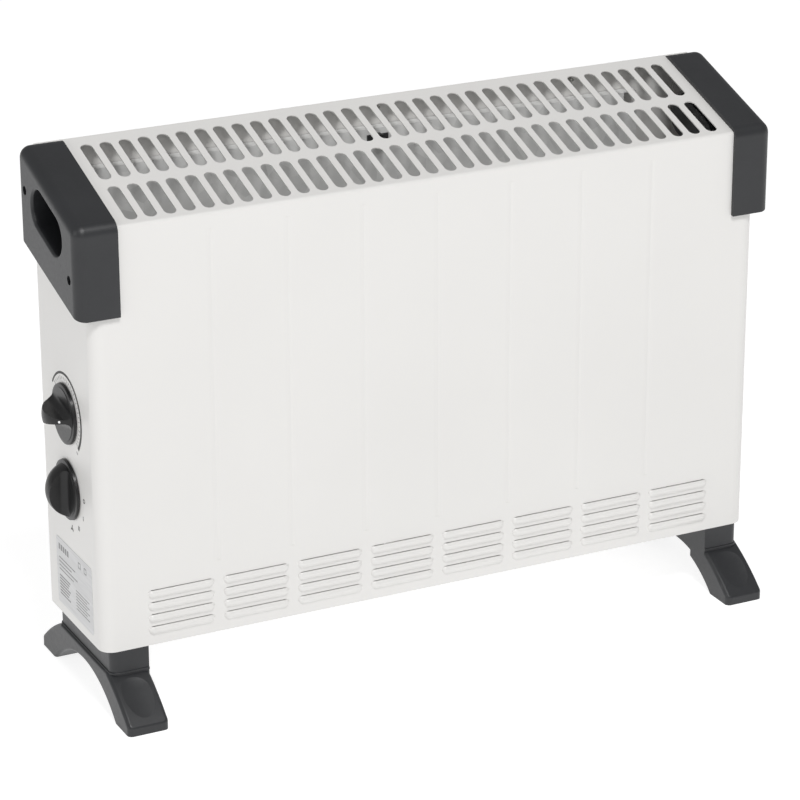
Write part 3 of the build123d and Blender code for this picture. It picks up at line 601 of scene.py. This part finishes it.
# ---------------------------------------------------------------- wound elements
WIRE_RADIUS = 0.45 * MM
WIRE_SIDES = 6
COIL_PITCH = 3.0 * MM
COIL_STEPS = 12                 # rings in each turn


def add_coil(mesh_data, low, high):
    """Open helix along X that fills the box of a plain rod."""
    radius = (high.z - low.z) / 2 - WIRE_RADIUS
    middle = (low + high) / 2
    steps = round((high.x - low.x) / COIL_PITCH) * COIL_STEPS
    rings = []
    for step in range(steps + 1):
        turn = step * 2 * pi / COIL_STEPS
        outward = Vector((0, cos(turn), sin(turn)))
        along = low.x + (high.x - low.x) * step / steps
        centre = Vector((along, middle.y, middle.z)) + outward * radius
        ring = []
        for side in range(WIRE_SIDES):
            roll = side * 2 * pi / WIRE_SIDES
            sideways = Vector((WIRE_RADIUS * sin(roll), 0, 0))
            ring.append(centre + outward * WIRE_RADIUS * cos(roll) + sideways)
        rings.append(ring)
    loft(mesh_data, rings)


def make_coils(node):
    """Resistance wire in place of a node's plain rods."""
    coils = bmesh.new()
    for low, high in solids_of(node):
        add_coil(coils, low, high)
    name = node.replace("heating_coils", "wound_coils")
    piece_from(name, coils, "casing", MATERIALS["resistance_wire"], node)


# ---------------------------------------------------------------- screws
# Shares of a head's radius, across the head and back: the cross recess and its walls.
HEAD_GRID = (-1.0, -0.82, -0.6, -0.52, -0.18, -0.12, 0.12, 0.18, 0.52, 0.6, 0.82, 1.0)
CROSS_HALF = 0.12
CROSS_REACH = 0.52
CROSS_DEPTH = 0.5               # shares of the head's height
HEAD_FALL = 0.55
SHANK_RADIUS = 1.6 * MM
SHANK_LARGEST = 0.46            # share of the head's radius
TIP_SHARE = 0.4                 # tip's radius as a share of the shank's
TIP_LENGTH = 0.2                # as a share of the head's radius


def add_head(mesh_data, seat, outward, radius, height):
    """Domed head with a cross recess; returns the vertices round its rim."""
    first = outward.orthogonal().normalized()
    second = outward.cross(first)
    grid = []
    for u in HEAD_GRID:
        row = []
        for v in HEAD_GRID:
            x = u * (1 - v * v / 2) ** 0.5
            y = v * (1 - u * u / 2) ** 0.5
            rise = 1 - HEAD_FALL * (x * x + y * y)
            if min(abs(u), abs(v)) <= CROSS_HALF and max(abs(u), abs(v)) <= CROSS_REACH:
                rise -= CROSS_DEPTH
            across = (first * x + second * y) * radius
            row.append(mesh_data.verts.new(seat + across + outward * height * rise))
        grid.append(row)
    last = len(HEAD_GRID) - 1
    for i in range(last):
        for j in range(last):
            corners = (grid[i][j], grid[i + 1][j], grid[i + 1][j + 1], grid[i][j + 1])
            mesh_data.faces.new(corners)
    rim = [grid[i][0] for i in range(last)] + [grid[last][j] for j in range(last)]
    rim += [grid[i][last] for i in range(last, 0, -1)] + [grid[0][j] for j in range(last, 0, -1)]
    return rim


def add_screw(mesh_data, seat, outward, radius, height, length):
    """Cross-recess screw; the shank runs the other way from the seat."""
    rim = add_head(mesh_data, seat, outward, radius, height)
    spokes = []
    for vertex in rim:
        offset = vertex.co - seat
        spokes.append(offset - outward * offset.dot(outward))
    shank = min(SHANK_LARGEST, SHANK_RADIUS / radius)
    tip = -length - radius * TIP_LENGTH
    rings = [rim]
    for share, depth in ((1.0, 0.0), (shank, 0.0), (shank, -length), (shank * TIP_SHARE, tip)):
        around = seat + outward * depth
        rings.append([mesh_data.verts.new(around + spoke * share) for spoke in spokes])
    skin(mesh_data, rings)
    mesh_data.faces.new(rings[-1])


def make_screws(node, slot, axis, head_height, side=None):
    """Detailed screws in place of a node's plain ones; 'side' is their heads' way along the axis."""
    screws = bmesh.new()
    for low, high in solids_of(node):
        middle = (low + high) / 2
        way = side or (1 if middle[axis] > MIDDLE_X else -1)
        outward = Vector([way if index == axis else 0 for index in range(3)])
        top = high[axis] if way > 0 else low[axis]
        seat = middle.copy()
        seat[axis] = top - way * head_height
        radius = (high[(axis + 1) % 3] - low[(axis + 1) % 3]) / 2
        length = high[axis] - low[axis] - head_height
        add_screw(screws, seat, outward, radius, head_height, length - radius * TIP_LENGTH)
    piece_from("cross_" + node, screws, "casing", MATERIALS[slot], node)


X_AXIS, Y_AXIS, Z_AXIS = range(3)

make_thermostat_print()
make_selector_print()
make_pointer_dot("thermostat_dot", THERMOSTAT_AT, THERMOSTAT_POINTER, "thermostat_dial")
make_pointer_dot("selector_dot", SELECTOR_AT, SELECTOR_POINTER, "selector_dial")
make_rating_label()
make_coils("heating_coils_low")
make_coils("heating_coils_high")
make_screws("casing_screws", "zinc_screw", Y_AXIS, 2.0 * MM, side=1)
make_screws("handle_screws", "black_screw", X_AXIS, 2.0 * MM)
make_screws("foot_screws", "zinc_screw", Z_AXIS, 2.2 * MM, side=-1)


# ---------------------------------------------------------------- stage, light and camera
FLOOR_GLOW = 0.84               # lifts the floor to the photo's plain white
WORLD_STRENGTH = 0.32
LIGHTS = (                      # name, place, aim, size, power in watts
    ("key", (-0.3, -1.9, 3.1), (0.0, 0.0, 0.3), (0.9, 0.7), 58.0),
    ("front", (-0.9, -3.0, 1.9), (0.0, 0.0, 0.3), (0.6, 0.5), 5.0),
    ("fill", (-2.8, -0.3, 1.5), (0.0, 0.0, 0.25), (1.0, 1.2), 9.0),
)


def make_stage():
    bpy.ops.mesh.primitive_plane_add(size=30)
    floor = bpy.context.object
    floor.name = "floor"
    pale = Shader("floor", (0.36, 0.36, 0.36), 0.8)
    pale.tint(pale.noise(0.7), (0.355, 0.355, 0.355), (0.365, 0.365, 0.365))
    pale.set("Emission Color", (1.0, 1.0, 1.0, 1.0))
    pale.set("Emission Strength", FLOOR_GLOW)
    floor.data.materials.append(pale.material)


def soft_box(name, place, aim, size, power):
    """Large soft area light."""
    data = bpy.data.lights.new(name, "AREA")
    data.shape = "RECTANGLE"
    data.size, data.size_y = size
    data.energy = power
    lamp = bpy.data.objects.new(name, data)
    lamp.location = place
    lamp.rotation_euler = (Vector(aim) - Vector(place)).to_track_quat("-Z", "Y").to_euler()
    bpy.context.scene.collection.objects.link(lamp)


def make_light():
    world = bpy.data.worlds.new("studio")
    world.use_nodes = True
    background = world.node_tree.nodes["Background"]
    background.inputs["Color"].default_value = (1.0, 1.0, 1.0, 1.0)
    background.inputs["Strength"].default_value = WORLD_STRENGTH
    bpy.context.scene.world = world
    bpy.context.scene.view_settings.view_transform = "Standard"
    for light in LIGHTS:
        soft_box(*light)


CAMERA_YAW = radians(-26.14)
CAMERA_PITCH = radians(21.38)
CAMERA_ROLL = radians(-0.19)
CAMERA_DISTANCE = 2.589
CAMERA_SIDEWAYS = -0.005        # across the picture
CAMERA_LIFT = -0.0318           # up the picture
CAMERA_AIM_Z = 0.224
CAMERA_LENS = 149.9


def make_camera():
    back = Vector((
        sin(CAMERA_YAW) * cos(CAMERA_PITCH),
        -cos(CAMERA_YAW) * cos(CAMERA_PITCH),
        sin(CAMERA_PITCH),
    ))
    right = Vector((cos(CAMERA_YAW), sin(CAMERA_YAW), 0.0))
    up = back.cross(right)
    rolled_right = right * cos(CAMERA_ROLL) + up * sin(CAMERA_ROLL)
    rolled_up = up * cos(CAMERA_ROLL) - right * sin(CAMERA_ROLL)
    data = bpy.data.cameras.new("camera")
    data.lens = CAMERA_LENS
    camera = bpy.data.objects.new("camera", data)
    turn = Matrix((rolled_right, rolled_up, back)).transposed().to_4x4()
    aim = Vector((MIDDLE_X, 0.0, CAMERA_AIM_Z))
    place = aim + back * CAMERA_DISTANCE + rolled_right * CAMERA_SIDEWAYS + rolled_up * CAMERA_LIFT
    camera.matrix_world = Matrix.Translation(place) @ turn
    bpy.context.scene.collection.objects.link(camera)
    bpy.context.scene.camera = camera


make_stage()
make_light()
make_camera()
